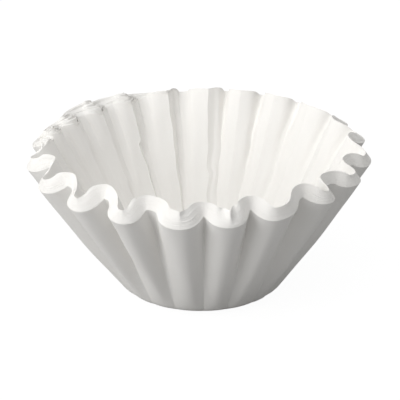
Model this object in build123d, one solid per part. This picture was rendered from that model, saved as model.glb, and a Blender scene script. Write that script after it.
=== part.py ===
# Paper coffee filters: a stack of fluted, flat-bottomed filters nested and pressed into one piece.
# Millimetres. +Z is up, -Y is the front, and the origin is the middle of the flat foot.
import os
from math import atan2, cos, pi, radians, sin, sqrt, tan

from build123d import *

# The sheets: equal paper discs, nested.
SHEET_DIAMETER = 187.0      # one filter, pressed flat
SHEET_THICKNESS = 0.11      # one sheet's share of the pressed stack
SHEETS = 40                 # filters in the stack

# The foot: a flat disc that bends up into the wall.
FOOT_RADIUS = 29.6          # where the bottom and the wall would meet without the bend
FOOT_BEND = 7.0             # radius of that bend on the outermost sheet
FOOT_WAVE = 1.4             # what is left of the flutes there, from bulge to fold

# The rim: a wave of outward bulges and inward folds.
BULGE_RADIUS = 65.0         # middle of the wall at a bulge
FOLD_DEPTH = 7.0            # how far in from there a plain fold reaches
PRESS = 2.5                 # how far the bulges are pressed in where the inner sheets slipped
BULGE_BREADTH = 0.62        # 0 is a plain wave's crest, and more is a broader one with steeper flanks
RIM_SAG = 1.2               # the stack leans, so the rim's left sags by this much and its right rises
SAG_ANGLE = 280.0           # the lowest point of that sag

# The edge of the stack: inner sheets stand above outer ones, except where they slipped down.
STEP = 3.8                  # innermost edge above outermost edge, all round
STEP_FRONT = 1.3            # more than that towards the front, and less at the back
FRONT_ANGLE = -20.0         # where the step is largest
SLIP = 5.2                  # the inner sheets' drop at the back left
SLIP_ANGLE = 226.0          # where that drop is deepest
SLIP_FADE_ANGLE = 52.0      # the drop fades out this far to each side

# Each flute: the bulge's angle, the angle of the fold after it, how deep that fold is next to a plain
# one, and its own breadth. Angles are in degrees from the front, rising towards the right.
FLUTES = [
    (-6.0, 1.8, 0.86, 0.02),
    (10.5, 19.0, 1.0, 0.1),
    (26.8, 40.5, 0.96, 0.05),
    (48.5, 53.8, 0.96, 0.62),
    (66.5, 72.0, 0.93, 0.55),
    (84.0, 94.5, 0.86, 0.3),
    (104.5, 112.0, 1.0, 0.62),
    (119.5, 130.0, 1.0, 0.62),
    (140.0, 147.5, 1.0, 0.62),
    (156.0, 162.5, 1.0, 0.62),
    (170.0, 176.0, 1.0, 0.62),
    (187.0, 192.5, 1.0, 0.62),
    (203.0, 208.5, 1.0, 0.62),
    (217.5, 223.0, 1.0, 0.62),
    (232.0, 237.5, 1.0, 0.62),
    (245.5, 251.0, 1.0, 0.62),
    (257.5, 265.0, 1.14, 0.62),
    (275.5, 285.0, 1.14, 0.62),
    (295.5, 304.0, 1.14, 0.62),
    (315.8, 322.8, 1.29, 0.62),
    (334.2, 341.5, 1.14, 0.62),
]
TURN = 360.0
SPANS = 8                   # flat strips of wall from a bulge to the fold beside it
BEND_STEPS = 3              # flat strips round the foot's bend

# Derived sizes
THICKNESS = SHEETS * SHEET_THICKNESS
SLANT = SHEET_DIAMETER / 2 - FOOT_RADIUS
BULGE_OUT = BULGE_RADIUS - FOOT_RADIUS
LEAN = BULGE_OUT / sqrt(SLANT**2 - BULGE_OUT**2)
BEND_ANGLE = atan2(1.0, LEAN)
BOTTOM_RADIUS = FOOT_RADIUS - FOOT_BEND * tan(BEND_ANGLE / 2)


def polar(angle, radius, height=0.0):
    """A point or direction at an angle from the front."""
    return Vector(radius * sin(radians(angle)), -radius * cos(radians(angle)), height)


def slipped(angle):
    """1 where the inner sheets slipped down the most, fading to 0 on both sides."""
    away = abs((angle - SLIP_ANGLE + TURN / 2) % TURN - TURN / 2) / SLIP_FADE_ANGLE
    return (1 + cos(pi * away)) / 2 if away < 1 else 0.0


def bulge_at(angle):
    """A bulge's angle, radius and breadth."""
    return angle, BULGE_RADIUS - PRESS * slipped(angle), BULGE_BREADTH


def runs():
    """The stretches between crests, each from (angle, radius, breadth) to the same of the next crest."""
    stretches = []
    for number, (bulge, fold, depth_share, breadth) in enumerate(FLUTES):
        following = number + 1
        next_bulge = FLUTES[following][0] if following < len(FLUTES) else FLUTES[0][0] + TURN
        crest = (fold, BULGE_RADIUS - depth_share * FOLD_DEPTH, breadth)
        stretches.append((bulge_at(bulge), crest))
        stretches.append((crest, bulge_at(next_bulge)))
    return stretches


def step_at(angle):
    """How far the innermost edge stands above the outermost one."""
    return STEP + STEP_FRONT * cos(radians(angle - FRONT_ANGLE)) - SLIP * slipped(angle)


def swing(run, share, side):
    """1 at a bulge and -1 at a fold: a plain wave in mid-wall (side 0), sharp in each face's hollows."""
    to_fold = share if run[1][1] < run[0][1] else 1 - share
    if side == 0:
        return cos(pi * to_fold)
    hollow = to_fold if side == 1 else 1 - to_fold
    return side * (1 - 2 * hollow**2)


def foot_point(run, share, radius, wave, height=0.0, side=0):
    """A point of the foot, where the flutes have nearly faded out, part of the way along a run."""
    angle = run[0][0] + (run[1][0] - run[0][0]) * share
    return polar(angle, radius + wave / 2 * swing(run, share, side), height)


def rim_point(run, share, side):
    """A point of the rim's outer edge (side 1) or inner edge (side -1), part of the way along a run."""
    (start, start_radius, start_breadth), (end, end_radius, end_breadth) = run
    sweep, reach = end - start, end_radius - start_radius
    breadth, drift = (start_breadth + end_breadth) / 2, (start_breadth - end_breadth) / 2
    along = share + breadth * sin(2 * pi * share) / (2 * pi) + drift * sin(pi * share) / pi
    angle = start + sweep * along
    radius = start_radius + reach * (1 - cos(pi * share)) / 2
    outward, around = polar(angle, 1), polar(angle + 90, 1)
    outward_speed = reach * pi / 2 * sin(pi * share)
    along_speed = 1 + breadth * cos(2 * pi * share) + drift * cos(pi * share)
    around_speed = radius * radians(sweep) * along_speed
    normal = (outward * around_speed - around * outward_speed).normalized()
    # Paper doesn't stretch, so where a fold pulls the rim in, it stands higher.
    spread = (polar(angle, radius) - foot_point(run, share, FOOT_RADIUS, FOOT_WAVE)).length
    height = sqrt(SLANT**2 - spread**2) - RIM_SAG * cos(radians(angle - SAG_ANGLE))
    rise = -side * step_at(angle) / 2
    edge = polar(angle, radius, height + rise) + outward * (rise * spread / height)
    lean = polar(SAG_ANGLE, RIM_SAG * height / BULGE_RADIUS)
    return edge + lean + normal * (side * THICKNESS / 2)


def bend_point(run, share, turned, side):
    """A point of the bend from the flat bottom to the wall, on the outermost or the innermost sheet."""
    angle = BEND_ANGLE * turned
    bend = FOOT_BEND if side == 1 else FOOT_BEND - THICKNESS
    radius = BOTTOM_RADIUS + bend * sin(angle)
    return foot_point(run, share, radius, FOOT_WAVE * turned, FOOT_BEND - bend * cos(angle), side)


def ring(point, *where):
    """Points all the way round, the same number along each run."""
    return [point(run, number / SPANS, *where) for run in runs() for number in range(SPANS)]


def strip(lower, upper):
    """Flat triangles between two rings: paper that only folds is straight from one to the other."""
    triangles = []
    for number in range(len(lower)):
        a, b = lower[number - 1], lower[number]
        c, d = upper[number - 1], upper[number]
        triangles.append(Face(Wire.make_polygon([a, b, d])))
        triangles.append(Face(Wire.make_polygon([a, d, c])))
    return triangles


def filter_stack():
    """Bottom, bend, outer wall, edge of the stack, inner wall, bend and floor, as one closed skin."""
    outside = [ring(bend_point, number / BEND_STEPS, 1) for number in range(BEND_STEPS + 1)]
    inside = [ring(bend_point, number / BEND_STEPS, -1) for number in range(BEND_STEPS + 1)]
    rings = outside + [ring(rim_point, 1), ring(rim_point, -1)] + inside[::-1]
    faces = [Face(Wire.make_polygon(rings[0])), Face(Wire.make_polygon(rings[-1]))]
    for lower, upper in zip(rings, rings[1:]):
        faces += strip(lower, upper)
    return Solid(Shell(faces))


stack = filter_stack()
stack.label = "filter_stack"
os.makedirs("parts", exist_ok=True)
export_step(stack, "parts/filter_stack.step")
size = stack.bounding_box().size
print("stack", round(size.X, 1), "x", round(size.Y, 1), "x", round(size.Z, 1), "mm")
print("paper", round(stack.volume / 1000, 1), "cubic centimetres, valid:", stack.is_valid)
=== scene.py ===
# %% [markdown]
# # A nested stack of fluted paper filters
# Forty thin paper discs are folded into flat-bottomed bowls and pressed into one another.
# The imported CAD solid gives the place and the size. This lesson dresses it: the camera and the
# studio first, then the paper itself as one fine closed mesh with every sheet's edge along the
# rim, then the paper's finish.

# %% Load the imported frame
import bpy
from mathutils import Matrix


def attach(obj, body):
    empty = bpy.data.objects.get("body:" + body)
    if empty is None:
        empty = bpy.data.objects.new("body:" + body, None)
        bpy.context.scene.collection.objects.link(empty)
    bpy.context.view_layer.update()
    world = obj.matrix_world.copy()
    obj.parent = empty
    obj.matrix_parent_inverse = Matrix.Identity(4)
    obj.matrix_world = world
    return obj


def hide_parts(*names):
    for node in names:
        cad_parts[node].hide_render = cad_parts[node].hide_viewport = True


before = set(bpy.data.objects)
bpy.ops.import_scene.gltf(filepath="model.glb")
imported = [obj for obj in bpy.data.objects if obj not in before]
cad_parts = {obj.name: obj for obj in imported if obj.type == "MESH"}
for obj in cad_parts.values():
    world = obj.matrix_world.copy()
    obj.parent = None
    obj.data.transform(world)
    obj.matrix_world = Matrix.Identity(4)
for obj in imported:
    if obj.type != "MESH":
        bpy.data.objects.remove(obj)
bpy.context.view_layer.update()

# %% [markdown]
# ## The view
# The picture was taken from a little above the rim, from far away, so the near and far flutes are
# nearly the same size. A long lens a good metre off gives that. The camera could be aimed with a
# tracking constraint, but a plain rotation about the sideways axis says the same in one number.

# %% Camera
from math import cos, pi, radians, sin
import bpy

VIEW_ELEVATION = radians(23.5)
VIEW_DISTANCE = 1.150
VIEW_WIDTH = 0.156            # what the square picture spans at the middle of the stack
VIEW_MIDDLE = (-0.0004, 0.0125, 0.0288)
SENSOR_WIDTH = 36.0           # millimetres

camera_data = bpy.data.cameras.new("camera")
camera_data.sensor_width = SENSOR_WIDTH
camera_data.lens = SENSOR_WIDTH * VIEW_DISTANCE / VIEW_WIDTH
camera = bpy.data.objects.new("camera", camera_data)
bpy.context.collection.objects.link(camera)
camera.location = (
    VIEW_MIDDLE[0],
    VIEW_MIDDLE[1] - VIEW_DISTANCE * cos(VIEW_ELEVATION),
    VIEW_MIDDLE[2] + VIEW_DISTANCE * sin(VIEW_ELEVATION),
)
camera.rotation_euler = (pi / 2 - VIEW_ELEVATION, 0.0, 0.0)
bpy.context.scene.camera = camera
print("camera", [round(value, 3) for value in camera.location], "lens", round(camera_data.lens, 1))

# %% [markdown]
# ## The studio light
# White paper on white needs light from one side, or its folds vanish. A broad lamp stands low on the
# left, like a window, so each bulge of the wall is bright on its left flank and grey on its right.
# A smaller one high on the left grazes the inside, where every pleat throws a thin shadow on the
# next. A weak one overhead fills the bowl. The outside of the wall leans over the table, so it sees
# little of any of them and stays grey, which is what makes the white rim stand out.

# %% Lamps
from mathutils import Vector

RIM_MIDDLE = (0.0, 0.0, 0.05)
LAMPS = [                     # name, place, width in metres, power in watts
    ("window", (-0.80, -0.54, 0.36), 0.7, 4.8),
    ("skylight", (-0.50, -0.30, 0.98), 0.4, 2.7),
    ("ceiling", (0.05, -0.30, 1.20), 0.9, 2.6),
]


def soft_lamp(name, place, width, power):
    """A square lamp at a place, turned towards the middle of the rim."""
    data = bpy.data.lights.new(name, "AREA")
    data.shape = "SQUARE"
    data.size = width
    data.energy = power
    lamp = bpy.data.objects.new(name, data)
    bpy.context.collection.objects.link(lamp)
    lamp.location = place
    lamp.rotation_euler = (Vector(RIM_MIDDLE) - Vector(place)).to_track_quat("-Z", "Y").to_euler()


for lamp_facts in LAMPS:
    soft_lamp(*lamp_facts)
print("lamps", [lamp_facts[0] for lamp_facts in LAMPS])

# %% [markdown]
# ## The room
# Seen by the camera, the room is plain white. To the paper it is only a soft grey glow, because a
# room as bright as it looks would wash out every fold. A white backdrop could stand there, but it
# would throw its own light on the paper. Asking each ray where it comes from keeps the two apart.

# %% Room
ROOM_GLOW = 0.45
WHITE = (1.0, 1.0, 1.0, 1.0)


def link(tree, output, target):
    """Joins one node's output to another's input."""
    tree.links.new(output, target)


def picture_ray(tree):
    """1 for the rays that show the background itself: straight, mirrored or through something clear."""
    ray = tree.nodes.new("ShaderNodeLightPath")
    shown = ray.outputs["Is Camera Ray"]
    for kind in ("Is Glossy Ray", "Is Transmission Ray"):
        either = tree.nodes.new("ShaderNodeMath")
        either.operation = "MAXIMUM"
        link(tree, shown, either.inputs[0])
        link(tree, ray.outputs[kind], either.inputs[1])
        shown = either.outputs["Value"]
    return shown


def white_glow(tree, kind, strength):
    """White light of some strength, from a background or from a surface."""
    glow = tree.nodes.new(kind)
    glow.inputs["Color"].default_value = WHITE
    glow.inputs["Strength"].default_value = strength
    return glow.outputs[0]


def seen_and_felt(tree, seen, felt, output):
    """Shows one shader to the camera and another to everything else."""
    mix = tree.nodes.new("ShaderNodeMixShader")
    link(tree, picture_ray(tree), mix.inputs["Fac"])
    link(tree, felt, mix.inputs[1])
    link(tree, seen, mix.inputs[2])
    link(tree, mix.outputs["Shader"], output.inputs["Surface"])


world = bpy.data.worlds.new("room")
bpy.context.scene.world = world
world.use_nodes = True
room = world.node_tree
room.nodes.clear()
room_out = room.nodes.new("ShaderNodeOutputWorld")
room_white = white_glow(room, "ShaderNodeBackground", 1.0)
room_grey = white_glow(room, "ShaderNodeBackground", ROOM_GLOW)
seen_and_felt(room, room_white, room_grey, room_out)
print("room glow", ROOM_GLOW)

# %% [markdown]
# ## The table
# The stack stands on a plain pale table that runs out of the picture on all sides. A sheet that curves
# up behind it could be floor and wall in one, but the room is white already, so one big square is
# enough. It lies a tenth of a millimetre under the foot, so that two flat faces never share a place.

# %% Table
TABLE_HALF = 3.0
TABLE_GAP = 0.0001

table_corners = [(-TABLE_HALF, -TABLE_HALF, 0.0), (TABLE_HALF, -TABLE_HALF, 0.0),
                 (TABLE_HALF, TABLE_HALF, 0.0), (-TABLE_HALF, TABLE_HALF, 0.0)]
table_mesh = bpy.data.meshes.new("table")
table_mesh.from_pydata(table_corners, [], [(0, 1, 2, 3)])
table = bpy.data.objects.new("table", table_mesh)
bpy.context.collection.objects.link(table)
table.location.z = -TABLE_GAP
print("table", 2 * TABLE_HALF, "m square")

# %% [markdown]
# ## The table's top
# The camera sees the table white. The paper sees it grey: if the table threw back all its light, the
# wall's underside would be as bright as its top. The table's own shade stays in the picture,
# faintly, so the stack still stands on something.

# %% Table top
TABLE_GREY = 0.40
SHADE_SHARE = 0.10            # how much of the table's own shade the picture keeps

table_top = bpy.data.materials.new("table_top")
table_top.use_nodes = True
top = table_top.node_tree
top.nodes.clear()


def matt(grey):
    """A plain matt surface of one grey."""
    surface = top.nodes.new("ShaderNodeBsdfDiffuse")
    surface.inputs["Color"].default_value = (grey, grey, grey, 1.0)
    return surface.outputs["BSDF"]


top_out = top.nodes.new("ShaderNodeOutputMaterial")
shaded_white = top.nodes.new("ShaderNodeAddShader")
link(top, white_glow(top, "ShaderNodeEmission", 1.0 - SHADE_SHARE / 2), shaded_white.inputs[0])
link(top, matt(SHADE_SHARE), shaded_white.inputs[1])
seen_and_felt(top, shaded_white.outputs["Shader"], matt(TABLE_GREY), top_out)
table_mesh.materials.append(table_top)
print("table top with", len(top.nodes), "nodes")

# %% [markdown]
# ## The sizes
# The same few sizes drive the solid. They could be measured off its mesh, but a mesh doesn't say which
# size is which. The middle of the wall runs straight from the foot to the rim. At the rim it swings
# between bulges and folds, and paper does not stretch, so wherever a fold pulls the rim in it has to
# stand higher. Lengths are in metres and angles in degrees from the front, rising to the right.

# %% Sizes of the stack
from math import atan2, sqrt, tan

SHEET_DIAMETER = 0.187
SHEET_THICKNESS = 0.00011
SHEETS = 40
FOOT_RADIUS = 0.0296
FOOT_BEND = 0.007
FOOT_WAVE = 0.0014
BULGE_RADIUS = 0.065
FOLD_DEPTH = 0.007
PRESS = 0.0025                # how far the bulges are pressed in where the inner sheets slipped
BULGE_BREADTH = 0.62
RIM_SAG = 0.0012
SAG_ANGLE = 280.0
STEP = 0.0038                 # innermost edge above outermost edge
STEP_FRONT = 0.0013
FRONT_ANGLE = -20.0
SLIP = 0.0052                 # the inner sheets' drop at the back left
SLIP_ANGLE = 226.0
SLIP_FADE_ANGLE = 52.0
FLUTES = [                    # a bulge's angle, the next fold's angle, its share of the depth, its breadth
    (-6.0, 1.8, 0.86, 0.02), (10.5, 19.0, 1.0, 0.1), (26.8, 40.5, 0.96, 0.05),
    (48.5, 53.8, 0.96, 0.62), (66.5, 72.0, 0.93, 0.55), (84.0, 94.5, 0.86, 0.3),
    (104.5, 112.0, 1.0, 0.62), (119.5, 130.0, 1.0, 0.62), (140.0, 147.5, 1.0, 0.62),
    (156.0, 162.5, 1.0, 0.62), (170.0, 176.0, 1.0, 0.62), (187.0, 192.5, 1.0, 0.62),
    (203.0, 208.5, 1.0, 0.62), (217.5, 223.0, 1.0, 0.62), (232.0, 237.5, 1.0, 0.62),
    (245.5, 251.0, 1.0, 0.62), (257.5, 265.0, 1.14, 0.62), (275.5, 285.0, 1.14, 0.62),
    (295.5, 304.0, 1.14, 0.62), (315.8, 322.8, 1.29, 0.62), (334.2, 341.5, 1.14, 0.62),
]
TURN = 360.0
THICKNESS = SHEETS * SHEET_THICKNESS
SLANT = SHEET_DIAMETER / 2 - FOOT_RADIUS
BULGE_OUT = BULGE_RADIUS - FOOT_RADIUS
LEAN = BULGE_OUT / sqrt(SLANT**2 - BULGE_OUT**2)
BEND_ANGLE = atan2(1.0, LEAN)
BOTTOM_RADIUS = FOOT_RADIUS - FOOT_BEND * tan(BEND_ANGLE / 2)
print("wall", round(1000 * THICKNESS, 2), "mm thick,", len(FLUTES), "flutes")

# %% [markdown]
# ## From crest to crest
# Each flute is two runs: from its bulge in to the fold, and from there out to the next bulge. The
# wall could be one long wave, but the real flutes are uneven, so every run gets its own two ends.
# Where the inner sheets slipped, the bulges are pressed in.

# %% Crests
import numpy as np


def turned_from(angle, middle):
    """The shorter way round from one angle to another, to the right or, below 0, to the left."""
    return (angle - middle + TURN / 2) % TURN - TURN / 2


def window(angle, middle, fade):
    """1 at an angle, fading to 0 on both sides."""
    away = np.abs(turned_from(angle, middle)) / fade
    return np.where(away < 1, (1 + np.cos(pi * away)) / 2, 0.0)


def bulge_at(angle):
    """A bulge's angle, radius and breadth."""
    pressed = PRESS * float(window(angle, SLIP_ANGLE, SLIP_FADE_ANGLE))
    return angle, BULGE_RADIUS - pressed, BULGE_BREADTH


runs = []
for number, (bulge, fold, depth_share, breadth) in enumerate(FLUTES):
    next_bulge = FLUTES[number + 1][0] if number + 1 < len(FLUTES) else FLUTES[0][0] + TURN
    crest = (fold, BULGE_RADIUS - depth_share * FOLD_DEPTH, breadth)
    runs.append((bulge_at(bulge), crest))
    runs.append((crest, bulge_at(next_bulge)))
print("runs", len(runs))

# %% [markdown]
# ## Columns round the wall
# A pleated wall is easiest as a grid: columns that run up the wall, rows that run round it. Sixteen
# columns go from each crest to the next. They crowd a little towards the crests, where the paper
# turns sharply, and spread out on the flanks between. A finely divided cylinder could be bent into
# shape instead, but its even columns would miss the crests.

# %% Columns
COLUMNS_PER_RUN = 16
CROWD = 0.45                  # 0 is evenly spaced, 1 leaves no room at a crest

evenly = np.arange(COLUMNS_PER_RUN) / COLUMNS_PER_RUN
shares = np.tile(evenly - CROWD * np.sin(2 * pi * evenly) / (2 * pi), len(runs))
columns = len(shares)
starts = np.repeat([start for start, end in runs], COLUMNS_PER_RUN, axis=0)
ends = np.repeat([end for start, end in runs], COLUMNS_PER_RUN, axis=0)
sweep, reach = ends[:, 0] - starts[:, 0], ends[:, 1] - starts[:, 1]
falling = reach < 0                                # from a bulge in to a fold
to_fold = np.where(falling, shares, 1.0 - shares)  # 0 at a bulge, 1 at a fold
print("columns", columns)

# %% [markdown]
# ## Which way each column faces
# The sheets lie against one another, so each one is set in from its neighbour square to the wall,
# not straight towards the middle. On a steep flank that is nearly sideways. The direction follows
# from how fast the wave moves outward and how fast it moves round, so it needs no mesh yet.

# %% Directions of each column


def round_point(angle, radius, height=0.0):
    """Points at angles from the front, rising to the right."""
    turned = np.radians(angle)
    flat = np.broadcast_arrays(radius * np.sin(turned), -radius * np.cos(turned), height)
    return np.stack(flat, axis=-1)


breadth, drift = (starts[:, 2] + ends[:, 2]) / 2, (starts[:, 2] - ends[:, 2]) / 2
along = shares + breadth * np.sin(2 * pi * shares) / (2 * pi) + drift * np.sin(pi * shares) / pi
rim_angle = starts[:, 0] + sweep * along
rim_radius = starts[:, 1] + reach * (1 - np.cos(pi * shares)) / 2
foot_angle = starts[:, 0] + sweep * shares
outward = round_point(rim_angle, 1.0)
around = round_point(rim_angle + TURN / 4, 1.0)
outward_speed = reach * pi / 2 * np.sin(pi * shares)
along_speed = 1 + breadth * np.cos(2 * pi * shares) + drift * np.cos(pi * shares)
around_speed = rim_radius * np.radians(sweep) * along_speed
across = outward * around_speed[:, None] - around * outward_speed[:, None]
across /= np.linalg.norm(across, axis=1)[:, None]
print("rim from", round(1000 * rim_radius.min(), 1), "to", round(1000 * rim_radius.max(), 1), "mm")

# %% [markdown]
# ## The foot
# The bottom is a flat disc that bends up into the wall, and the flutes have almost faded out there.
# On the real thing the grooves between the bulges stay sharp right down to the bend, although the
# outline is nearly a circle. A plain round bend would look moulded, so the wave at the foot is small,
# round at the bulges and pointed in the grooves.

# %% Rings of the foot
HOLLOW_POWER = 2.2            # more gives flatter bulges and narrower grooves between them
FOOT_PRESS = 0.6              # how much of that wave is left once the foot is pressed on a table
OUTSIDE, INSIDE = 1, -1


def foot_ring(radius, wave, height, side):
    """A ring of the foot: outside the grooves are pointed, inside the pockets are."""
    hollow = to_fold if side == OUTSIDE else 1.0 - to_fold
    return round_point(foot_angle, radius + side * wave / 2 * (1.0 - 2.0 * hollow**HOLLOW_POWER), height)


def bend_ring(turned, side):
    """A ring part of the way round the bend from the bottom to the wall."""
    angle = BEND_ANGLE * turned
    bend = FOOT_BEND if side == OUTSIDE else FOOT_BEND - THICKNESS
    radius = BOTTOM_RADIUS + bend * sin(angle)
    return foot_ring(radius, FOOT_PRESS * FOOT_WAVE * turned**2, FOOT_BEND - bend * cos(angle), side)


foot_middle = round_point(foot_angle, FOOT_RADIUS + FOOT_WAVE / 2 * np.cos(pi * to_fold))
print("foot radius", round(1000 * FOOT_RADIUS, 1), "mm")

# %% [markdown]
# ## The rim's height
# Every sheet is the same disc, so the slanted wall is equally long everywhere. The rim could be drawn
# by eye, but that length and the wave already give its height. The inner sheets stand above the outer
# ones, most of all at the front, because they sit higher in the bowl. At the back left they slipped
# down instead.

# %% Rim height and the step between the sheets
middle = round_point(rim_angle, rim_radius)
spread = np.linalg.norm(middle - foot_middle, axis=1)
rim_height = np.sqrt(SLANT**2 - spread**2) - RIM_SAG * np.cos(np.radians(rim_angle - SAG_ANGLE))
stack_lean = round_point(np.full_like(rim_angle, SAG_ANGLE), RIM_SAG * rim_height / BULGE_RADIUS)
slipped = window(rim_angle, SLIP_ANGLE, SLIP_FADE_ANGLE)
step = STEP + STEP_FRONT * np.cos(np.radians(rim_angle - FRONT_ANGLE)) - SLIP * slipped
print("step from", round(1000 * step.min(), 2), "to", round(1000 * step.max(), 2), "mm")

# %% [markdown]
# ## Uneven sheets
# The rim is a flight of forty tiny stairs, one tread for each sheet. Hand-pressed sheets never line
# up, so each edge wanders up and down a little, and neighbours move together in bundles. Where the
# stack slipped, some sheets are loose and lie deeper at the folds. A bump texture could fake the
# lines, but real stairs catch the light properly at the folds.

# %% Uneven sheets
SEED = 21
BUNDLE = 5                    # sheets that move together
BUNDLE_TURNS = (3, 7, 11, 16, 23)
SHEET_TURNS = (5, 13, 21, 34)
SHEET_UNEVEN = 0.00004
BUNDLE_UNEVEN = 0.00003
SLIP_UNEVEN = 0.0007
LOOSE_DROP = 0.0016           # how deep a loosened sheet lies at a fold, at most
LOOSE_LEAST = 0.3             # the least share of that
LOOSE_SHARE = 0.4             # how many sheets are loose
LOOSE_ANGLE, LOOSE_FADE = 232.0, 58.0
HALF_WAVE = 180.0             # a run from bulge to fold, as an angle
BEFORE_FOLD, AFTER_FOLD = (150.0, 70.0), (180.0, 40.0)    # middle and fade of the drop along that run
chance = np.random.RandomState(SEED)


def wander(turns, size):
    """A smooth uneven line all the way round, made of waves that close on themselves."""
    line = np.zeros_like(rim_angle)
    for turn in turns:
        swell = chance.normal() / len(turns)**0.5
        line += swell * np.sin(np.radians(rim_angle) * turn + chance.uniform(0, 2 * pi))
    return size * line


on_run = HALF_WAVE * to_fold
near_fold = np.where(falling, window(on_run, *BEFORE_FOLD), window(on_run, *AFTER_FOLD))
loose_fold = near_fold * np.sqrt(window(rim_angle, LOOSE_ANGLE, LOOSE_FADE))
bundle_lines = [wander(BUNDLE_TURNS, 1.0) for _ in range(SHEETS // BUNDLE)]
sheet_slide, sheet_lift = [], []
for sheet in range(SHEETS):
    bundle = bundle_lines[sheet // BUNDLE] * (BUNDLE_UNEVEN + SLIP_UNEVEN * slipped)
    own = wander(SHEET_TURNS, SHEET_UNEVEN)
    drop = LOOSE_DROP * chance.uniform(LOOSE_LEAST, 1.0) if chance.uniform() < LOOSE_SHARE else 0.0
    sheet_slide.append(step * ((sheet + 0.5) / SHEETS - 0.5) + bundle + own)
    sheet_lift.append(-drop * loose_fold)
print("sheets", len(sheet_lift))

# %% [markdown]
# ## Creased sections
# Pressed paper doesn't stay in round waves. Inside, on the left, the folds lie over like knife
# pleats: a flat panel climbs to a crisp edge and drops straight behind it, so a dark gap follows
# each edge. Further round to the right the panels meet in shallow, straight-sided creases. Outside,
# the grooves are soft. A section gives that form from 0 at a bulge to 1 at a fold.

# %% Creased sections
PLEAT_CORNER = 12             # column of a run where the drop behind a pleat ends
PLEAT_START = 0.3             # how far a panel has climbed when it passes the bulge
SHALLOW_START = 0.4           # how much of the depth the straight creases on the right give up
GROOVE_DEPTH = 1.25           # the outside's grooves halfway up, next to a wave that fades evenly
GROOVE_POWER = 1.2            # more makes those grooves narrower
PLEATED_PART = (190.0, 290.0, 25.0)     # from one angle to another, and the fade past both


def between(angle, first, last, fade):
    """1 between two angles, fading to 0 outside them."""
    return np.clip((angle - first) / fade + 1.0, 0.0, 1.0) * np.clip((last - angle) / fade + 1.0, 0.0, 1.0)


up_to_fold = np.where(falling, along, 1.0 - along)     # as to_fold, but even round the rim
rounded = (1.0 - np.cos(pi * up_to_fold)) / 2
groove = GROOVE_DEPTH * rounded**GROOVE_POWER
behind_edge = np.interp(to_fold, [0.0, shares[PLEAT_CORNER], 1.0], [PLEAT_START, 0.0, 1.0])
panel = PLEAT_START + (1.0 - PLEAT_START) * up_to_fold
pleat = np.where(falling, behind_edge, panel)
straight = SHALLOW_START + (1.0 - SHALLOW_START) * up_to_fold
pleated = between(rim_angle, *PLEATED_PART)
inner_section = straight + (pleat - straight) * pleated
print("pleated columns", int((pleated > 0.5).sum()), "of", columns)

# %% [markdown]
# ## Drawing a ring towards a section
# A ring keeps its own bulges and folds, and only what lies between them moves in or out. That way
# the same section works at the rim, where the wave is deep, and near the foot, where it has nearly
# gone. At the front, the inner sheets don't follow two of the outer bulges but bridge them, and on
# the left they fill the pockets well.

# %% Sections of a ring
BRIDGED = [(-6.0, 10.0, 2.2, 0.0016), (10.5, 9.0, 6.0, 0.0012)]   # angle, fade, narrowness, lift
LEFT_POCKETS = (262.0, 338.0, 6.0)
crest_columns = np.arange(0, columns, COLUMNS_PER_RUN)


def draw_towards(ring, section, strength):
    """Moves a ring in or out, towards a section given from 0 at its bulges to 1 at its folds."""
    radius = np.hypot(ring[:, 0], ring[:, 1])
    start = np.repeat(radius[crest_columns], COLUMNS_PER_RUN)
    end = np.repeat(np.roll(radius[crest_columns], -1), COLUMNS_PER_RUN)
    bulge, fold = np.where(falling, start, end), np.where(falling, end, start)
    wanted = bulge + (fold - bulge) * section
    drawn = ring.copy()
    drawn[:, :2] *= (1.0 + strength * (wanted - radius) / radius)[:, None]
    return drawn


def with_pockets(ring, inward):
    """The inner sheets bridge the two foremost pockets and fill the rounder ones on the left well."""
    for angle, fade, power, lift in BRIDGED:
        bridged = inward**2 * window(rim_angle, angle, fade)
        ring = draw_towards(ring, 1.0 - (1.0 - to_fold)**power, bridged)
        ring[:, 2] += lift * bridged
    return draw_towards(ring, rounded, inward**2 * between(rim_angle, *LEFT_POCKETS))


print("bridged pockets", len(BRIDGED))

# %% [markdown]
# ## Stairs of sheet edges
# Forty whole sheets could be built, but only their edges show. Two rings make one sheet's edge: where
# its tread starts and where it ends. Sliding a sheet moves it up along the wall's slant, and lifting
# moves it straight up. Towards the inside the edges take on the creases of the inner wall. At the
# back left the outermost ones are pressed nearly straight.

# %% Stairs of sheet edges
EDGE_SLOPE = 0.8              # 0 is square stairs, 1 a plain slope
RIM_CREASE = 0.5              # how far the innermost edges follow the creased section
CREASED_PART = (105.0, 240.0, 20.0)
RIM_FLATTEN = 0.75            # how far the outermost edges are pressed straight where the sheets slipped
PRESSED_DEPTH = 0.3           # what pressing leaves of a fold's depth there
PRESSED_PART = (205.0, 262.0, 15.0)


def rim_ring(inset, slide, lift):
    """A ring at the rim: so far in from the wall's middle, slid up the slant and lifted."""
    ring = middle + outward * (slide * spread / rim_height)[:, None] + stack_lean
    ring[:, 2] += rim_height + slide + lift
    return ring - across * inset


tilt = EDGE_SLOPE * step / SHEETS / 2
edge_rows = []
for sheet in range(SHEETS):
    inward = (sheet + 0.5) / SHEETS
    crease = RIM_CREASE * inward * between(rim_angle, *CREASED_PART)
    flatten = RIM_FLATTEN * (1.0 - inward) * between(rim_angle, *PRESSED_PART)
    for edge, lean in ((sheet, -tilt), (sheet + 1, tilt)):
        inset = edge * SHEET_THICKNESS - THICKNESS / 2
        ring = rim_ring(inset, sheet_slide[sheet] + lean, sheet_lift[sheet])
        ring = with_pockets(draw_towards(ring, PRESSED_DEPTH * up_to_fold, flatten), inward)
        edge_rows.append(draw_towards(ring, inner_section, crease))
print("edge rows", len(edge_rows))

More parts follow.
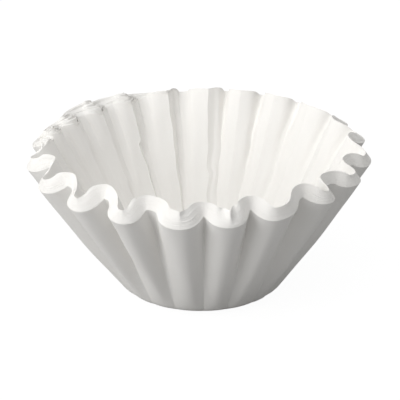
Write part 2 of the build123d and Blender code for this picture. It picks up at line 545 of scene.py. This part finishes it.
# %% [markdown]
# ## Ripples, dents and teeth
# Handled paper is never quite even. Long shallow ripples cross the wall, some small dents press it
# in or out by a fraction of a millimetre, and a few pleats have a small tooth where their edge
# jumps sideways. Noise could move the whole wall at random, but marks with a place and a length
# look more like something that happened to it.

# %% Ripples, dents and teeth
RIPPLES = 8
RIPPLE_TURNS, RIPPLE_CLIMBS = (7, 40), (1, 5)
DENTS = 26                    # dents in each wall
OUTER_DENT, INNER_DENT = 0.00035, 0.0005
DENT_HEIGHTS, DENT_LENGTHS = (0.15, 0.85), (0.07, 0.2)    # shares of the wall
DENT_SLANTS, DENT_WIDTHS = (-1.0, 1.0), (2.0, 5.0)        # widths in degrees
KINKS = [(208.5, 0.74, 0.0016), (176.0, 0.46, -0.0012), (223.0, 0.5, 0.0008)]   # angle, height, sideways
KINK_LENGTH, KINK_WIDTH = 0.17, 7.0


def dent_marks(depth):
    """Angle, height, slant, length, width and depth of some shallow dents."""
    limits = [(0.0, TURN), DENT_HEIGHTS, DENT_SLANTS, DENT_LENGTHS, DENT_WIDTHS, (-depth, depth)]
    return [[chance.uniform(*limit) for limit in limits] for _ in range(DENTS)]


def dented(share, marks):
    """How far a row is pressed out of line by the dents that cross it."""
    press = np.zeros_like(foot_angle)
    for angle, height, slant, length, width, depth in marks:
        up = (share - height) / length
        aside = turned_from(foot_angle, angle) / width + slant * up
        press += depth * np.clip(1.0 - np.hypot(up, aside), 0.0, 1.0)
    return press


def kinked(share):
    """How far a row is shifted sideways just below the small teeth in some pleats' edges."""
    shift = np.zeros_like(foot_angle)
    for angle, height, size in KINKS:
        below = (height - share) / KINK_LENGTH
        if 0.0 < below < 1.0:
            shift += size * (1.0 - below) * window(foot_angle, angle, KINK_WIDTH)
    return shift


ripples = [(chance.randint(*RIPPLE_TURNS), chance.randint(*RIPPLE_CLIMBS), chance.uniform(0, 2 * pi))
           for _ in range(RIPPLES)]
outer_marks, inner_marks = dent_marks(OUTER_DENT), dent_marks(INNER_DENT)
print("dents", len(outer_marks) + len(inner_marks), "teeth", len(KINKS))

# %% [markdown]
# ## The walls
# Paper that only folds is straight from the foot to the rim, so each column of the wall starts as a
# straight line between its two ends. Then each row is drawn towards its creased section, bowed out
# a little and marked with the ripples and dents. Inside, the pleats' edges also stray sideways. A
# cloth simulation could crumple the wall by itself, but not into these very folds.

# %% Outer and inner wall
WALL_ROWS = 28
BEND_ROWS = 6
OUTER_CREASE, INNER_CREASE = 1.0, 0.95
OUTER_FADE, INNER_FADE = 0.4, 0.15      # share of the wall over which the creases come in above the foot
RIM_FADE = 0.2                          # and go out below the rim
BELLY = 0.0009                # how far the wall bows out halfway up
RIPPLE = 0.00012
PLEAT_STRAY = 0.0003          # how far a pleat's edge strays sideways
STRAY_TURNS, STRAY_TWIST, STRAY_CLIMB = 4, 9.0, 23.0


def strayed(share, fade):
    """How far a row of the inner wall strays sideways."""
    wave = np.sin(np.radians(foot_angle) * STRAY_TURNS + STRAY_TWIST * share) * np.sin(STRAY_CLIMB * share)
    return PLEAT_STRAY * fade * wave + kinked(share)


def wall_rows(lower, upper, section, strength, fade_in, marks, side):
    """Rows of a wall between two rings, both ends left out: creased, bowed out and slightly uneven."""
    built = []
    for share in np.linspace(0.0, 1.0, WALL_ROWS + 1)[1:-1]:
        fade = min(1.0, share / fade_in) * min(1.0, (1.0 - share) / RIM_FADE)
        row = draw_towards(lower + (upper - lower) * share, section, strength * fade)
        uneven = sum(np.sin(np.radians(foot_angle) * turn + pi * climb * share + phase)
                     for turn, climb, phase in ripples) / RIPPLES**0.5
        bow = BELLY * sin(pi * share) + RIPPLE * fade * uneven + dented(share, marks)
        row += outward * bow[:, None]
        if side == INSIDE:
            row += around * strayed(share, fade)[:, None]
        built.append(row)
    return built


outer_bend = [bend_ring(turned, OUTSIDE) for turned in np.linspace(0.0, 1.0, BEND_ROWS)]
inner_bend = [bend_ring(turned, INSIDE) for turned in np.linspace(1.0, 0.0, BEND_ROWS)]
outer_rows = wall_rows(
    outer_bend[-1], edge_rows[0], groove, OUTER_CREASE, OUTER_FADE, outer_marks, OUTSIDE)
inner_rows = wall_rows(
    inner_bend[0], edge_rows[-1], inner_section, INNER_CREASE, INNER_FADE, inner_marks, INSIDE)
print("wall rows", len(outer_rows) + len(inner_rows))

# %% [markdown]
# ## One closed skin
# Bottom, bend, outer wall, stairs, inner wall and inside floor follow one another, so the rows
# stitch into one closed skin with a centre point under the foot and one on the floor. Separate
# surfaces could be joined afterwards, but points that are shared from the start leave no gaps.

# %% Mesh of the stack
rows = outer_bend + outer_rows + edge_rows + inner_rows[::-1] + inner_bend
centres = np.array([[0.0, 0.0, 0.0], [0.0, 0.0, THICKNESS]])
points = np.concatenate(rows + [centres])
bottom_point, floor_point = len(points) - 2, len(points) - 1
here = np.arange(columns)
following = (here + 1) % columns
faces = []
for row in range(len(rows) - 1):
    low, high = row * columns, (row + 1) * columns
    faces += np.stack([low + here, low + following, high + following, high + here], axis=1).tolist()
last = (len(rows) - 1) * columns
neighbours = list(zip(here.tolist(), following.tolist()))
faces += [[bottom_point, second, first] for first, second in neighbours]
faces += [[floor_point, last + first, last + second] for first, second in neighbours]

stack_mesh = bpy.data.meshes.new("paper_filters")
stack_mesh.from_pydata(points.tolist(), [], faces)
stack_mesh.validate()
stack = bpy.data.objects.new("paper_filters", stack_mesh)
bpy.context.collection.objects.link(stack)
print("triangles", sum(len(face.vertices) - 2 for face in stack_mesh.polygons))

# %% [markdown]
# ## Smooth walls, crisp edges
# The walls are smooth, but a sheet's edge is cut and a pleat is creased, so those edges stay crisp.
# Blender could find them by angle, but a shallow crease and a gentle bulge have nearly the same one.
# The grid knows better: an edge's row and column say what it is.

# %% Smooth walls, crisp sheet edges and creases
first_edge_row = len(outer_bend) + len(outer_rows)
last_edge_row = first_edge_row + len(edge_rows) - 1
in_run = here % COLUMNS_PER_RUN
pleat_corner = falling & (in_run == PLEAT_CORNER) & (pleated > 0.5)
inner_crease = (in_run == 0) & (~falling | (pleated < 0.5)) | pleat_corner

stack_mesh.polygons.foreach_set("use_smooth", [True] * len(stack_mesh.polygons))
edge_ends = np.empty(2 * len(stack_mesh.edges), dtype=np.int32)
stack_mesh.edges.foreach_get("vertices", edge_ends)
edge_ends = edge_ends.reshape(-1, 2)
edge_row, edge_column = edge_ends // columns, edge_ends % columns
lowest, highest = edge_row.min(axis=1), edge_row.max(axis=1)
along_rim = (lowest == highest) & (lowest >= first_edge_row) & (lowest <= last_edge_row)
upright = (edge_column[:, 0] == edge_column[:, 1]) & (highest < len(rows))
inside = upright & (lowest >= last_edge_row) & inner_crease[edge_column[:, 0]]
crisp = along_rim | inside
stack_mesh.edges.foreach_set("use_edge_sharp", crisp)
stack_mesh.update()
print("crisp edges", int(crisp.sum()), "of them creases", int(inside.sum()))

# %% [markdown]
# ## The paper
# Filter paper is matt, off-white and made of matted fibres, so it is never quite one tone. Slow noise
# stands for the uneven formation that shows against the light, and finer noise for its specks. A
# photograph of paper would show the same, but noise has no seams and no edge.

# %% Tone of the paper
PAPER_WHITE = (0.905, 0.893, 0.868, 1.0)
PAPER_CLOUD = (0.868, 0.853, 0.824, 1.0)
CLOUD_SCALE, SPECK_SCALE = 90.0, 700.0        # features about 11 mm and 1.4 mm across
CLOUD_DETAIL, SPECK_DETAIL = 4.0, 2.0
SPECK_SHARE = 0.35

paper = bpy.data.materials.new("filter_paper")
paper.use_nodes = True
sheet_tree = paper.node_tree
sheet_tree.nodes.clear()
place = sheet_tree.nodes.new("ShaderNodeTexCoord")


def noise(scale, detail, stretch=(1.0, 1.0, 1.0)):
    """Noise over the object, drawn out along an axis where stretch is below 1."""
    mapping = sheet_tree.nodes.new("ShaderNodeMapping")
    mapping.inputs["Scale"].default_value = stretch
    grain = sheet_tree.nodes.new("ShaderNodeTexNoise")
    grain.inputs["Scale"].default_value = scale
    grain.inputs["Detail"].default_value = detail
    link(sheet_tree, place.outputs["Object"], mapping.inputs["Vector"])
    link(sheet_tree, mapping.outputs["Vector"], grain.inputs["Vector"])
    return grain.outputs["Fac"]


def blend(first, second, share):
    """A number part of the way from one to another."""
    mix = sheet_tree.nodes.new("ShaderNodeMix")
    mix.inputs["Factor"].default_value = share
    link(sheet_tree, first, mix.inputs["A"])
    link(sheet_tree, second, mix.inputs["B"])
    return mix.outputs["Result"]


tone = sheet_tree.nodes.new("ShaderNodeMix")
tone.data_type = "RGBA"
tone.inputs["A"].default_value = PAPER_WHITE
tone.inputs["B"].default_value = PAPER_CLOUD
formation = blend(noise(CLOUD_SCALE, CLOUD_DETAIL), noise(SPECK_SCALE, SPECK_DETAIL), SPECK_SHARE)
link(sheet_tree, formation, tone.inputs["Factor"])
print("tone from", PAPER_WHITE[:3], "to", PAPER_CLOUD[:3])

# %% [markdown]
# ## Fibres and crinkles
# Up close the surface is a felt of fibres, a few hundredths of a millimetre high. Two noises, drawn
# out along different axes, cross like them. A coarser one adds the faint crinkles that handling
# leaves. All three only tilt the surface a little, so bump is enough and the mesh stays light.

# %% Fibres and crinkles
FIBRE_SCALE, CRINKLE_SCALE = 2500.0, 260.0
FIBRE_DETAIL, CRINKLE_DETAIL = 3.0, 5.0
UPRIGHT_FIBRES, LEVEL_FIBRES = (1.0, 1.0, 0.2), (0.2, 0.2, 1.0)
CRINKLE_STRETCH = (1.0, 1.0, 0.6)
LEVEL_SHARE, CRINKLE_SHARE = 0.5, 0.45
BUMP_STRENGTH, BUMP_HEIGHT = 0.3, 0.00012

fibres = blend(noise(FIBRE_SCALE, FIBRE_DETAIL, UPRIGHT_FIBRES),
               noise(FIBRE_SCALE, FIBRE_DETAIL, LEVEL_FIBRES), LEVEL_SHARE)
crinkles = noise(CRINKLE_SCALE, CRINKLE_DETAIL, CRINKLE_STRETCH)
bump = sheet_tree.nodes.new("ShaderNodeBump")
bump.inputs["Strength"].default_value = BUMP_STRENGTH
bump.inputs["Distance"].default_value = BUMP_HEIGHT
link(sheet_tree, blend(fibres, crinkles, CRINKLE_SHARE), bump.inputs["Height"])
print("bump", round(1000 * BUMP_HEIGHT, 2), "mm high")

# %% [markdown]
# ## The finished paper
# Uncoated paper scatters light almost evenly, so it is rough, and the little gloss that is left is
# weaker than on plastic. Light that shines through could be added, but a wall of forty sheets lets
# hardly any through. One plain shader takes the tone and the bump.

# %% Finished paper
PAPER_ROUGHNESS = 0.9
PAPER_GLOSS = 0.2

paper_shader = sheet_tree.nodes.new("ShaderNodeBsdfPrincipled")
paper_shader.inputs["Roughness"].default_value = PAPER_ROUGHNESS
paper_shader.inputs["Specular IOR Level"].default_value = PAPER_GLOSS
paper_out = sheet_tree.nodes.new("ShaderNodeOutputMaterial")
link(sheet_tree, tone.outputs["Result"], paper_shader.inputs["Base Color"])
link(sheet_tree, bump.outputs["Normal"], paper_shader.inputs["Normal"])
link(sheet_tree, paper_shader.outputs["BSDF"], paper_out.inputs["Surface"])
stack_mesh.materials.append(paper)
print("finish", paper.name, "with", len(sheet_tree.nodes), "nodes")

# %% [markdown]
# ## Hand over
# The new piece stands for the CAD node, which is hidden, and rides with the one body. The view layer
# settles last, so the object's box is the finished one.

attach(stack, "root")
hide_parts("filter_stack")
bpy.context.scene.view_settings.view_transform = "Standard"
bpy.context.view_layer.update()
